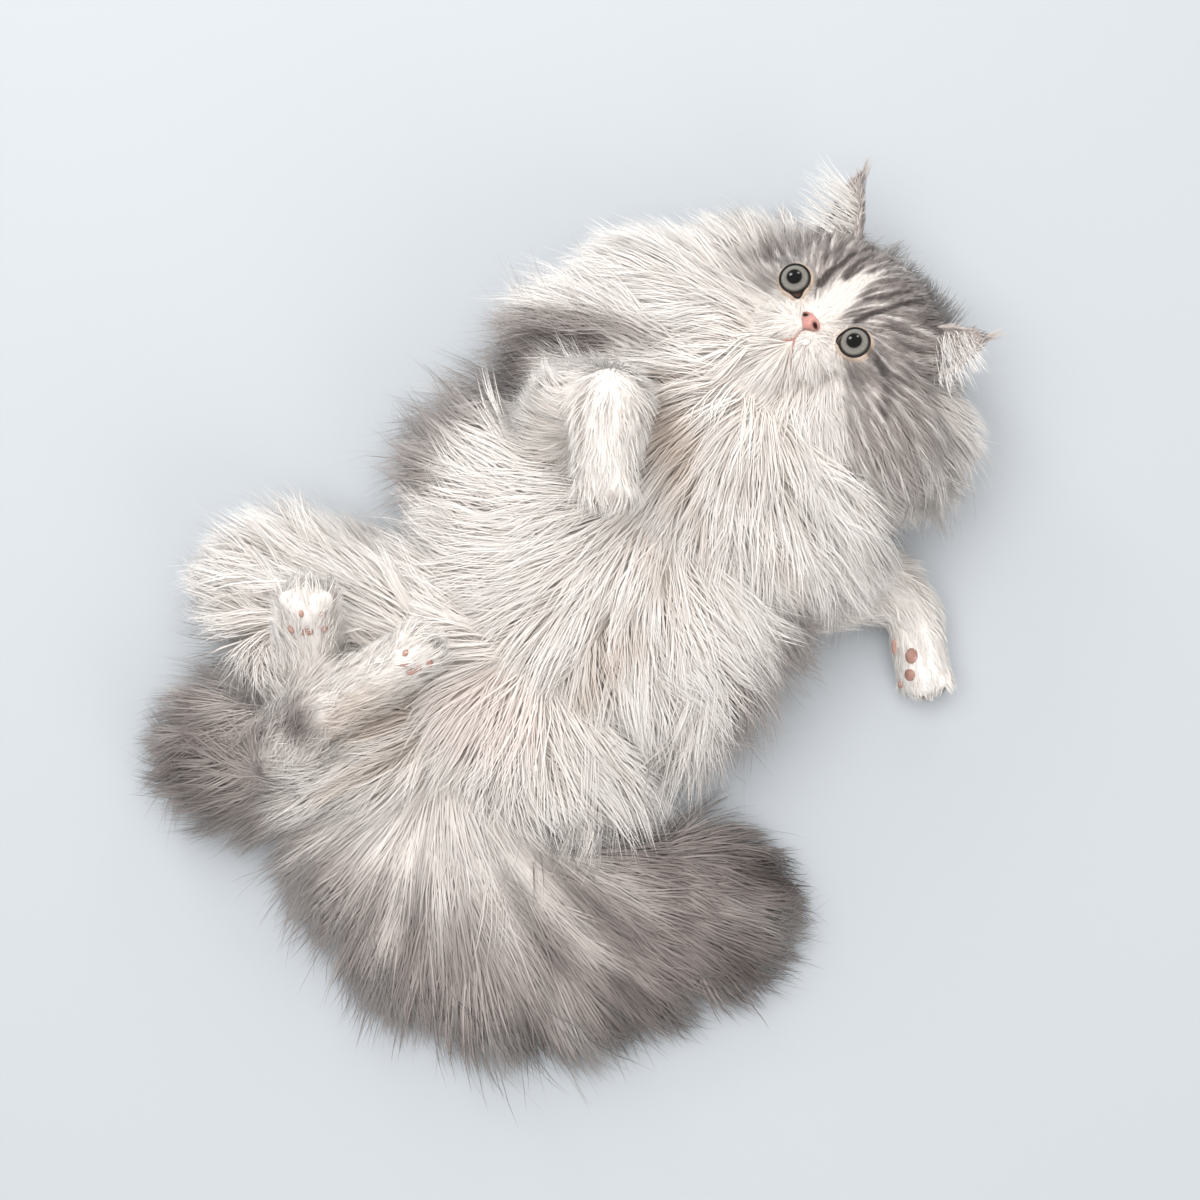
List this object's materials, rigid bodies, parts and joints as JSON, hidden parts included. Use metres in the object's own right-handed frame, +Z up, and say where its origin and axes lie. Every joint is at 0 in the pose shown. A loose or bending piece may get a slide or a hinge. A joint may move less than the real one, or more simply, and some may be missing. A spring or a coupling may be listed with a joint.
{
  "type": "persian cat",
  "caption": "Life-size still model of a long-haired flat-faced cat lying on its back, one forepaw raised, hind feet up, plumed tail spread.",
  "frame": {"origin": "under the middle of the cat's box, on the floor it lies on", "axes": "+Z up from the floor, out of the belly and face; the crown points towards +X +Y and the tail lies towards -Y"},
  "size_m": [0.435, 0.4722, 0.165],
  "materials": {
    "fur_white": "long soft white to cream fur",
    "fur_grey": "long soft silver-grey fur, paler at the roots",
    "nose_leather": "matt pink skin, slightly pebbled",
    "eye": "wet and glossy, grey-green with a round black pupil"
  },
  "bodies": {
    "root": {"eye_left": "eye", "eye_right": "eye", "nose": "nose_leather", "head": "fur_grey", "muzzle": "fur_white", "ear_left": "fur_grey", "ear_right": "fur_grey", "forepaw_left": "fur_white", "forepaw_right": "fur_white", "hindpaw_left": "fur_white", "hindpaw_right": "fur_white", "hindleg_left": "fur_white", "hindleg_right": "fur_white", "neck": "fur_white", "chest": "fur_white", "belly": "fur_white", "rump": "fur_white", "foreleg_left": "fur_white", "foreleg_right": "fur_white", "thigh_left": "fur_grey", "thigh_right": "fur_white", "tail_root": "fur_grey", "tail_tip": "fur_grey"}
  },
  "joints": []
}
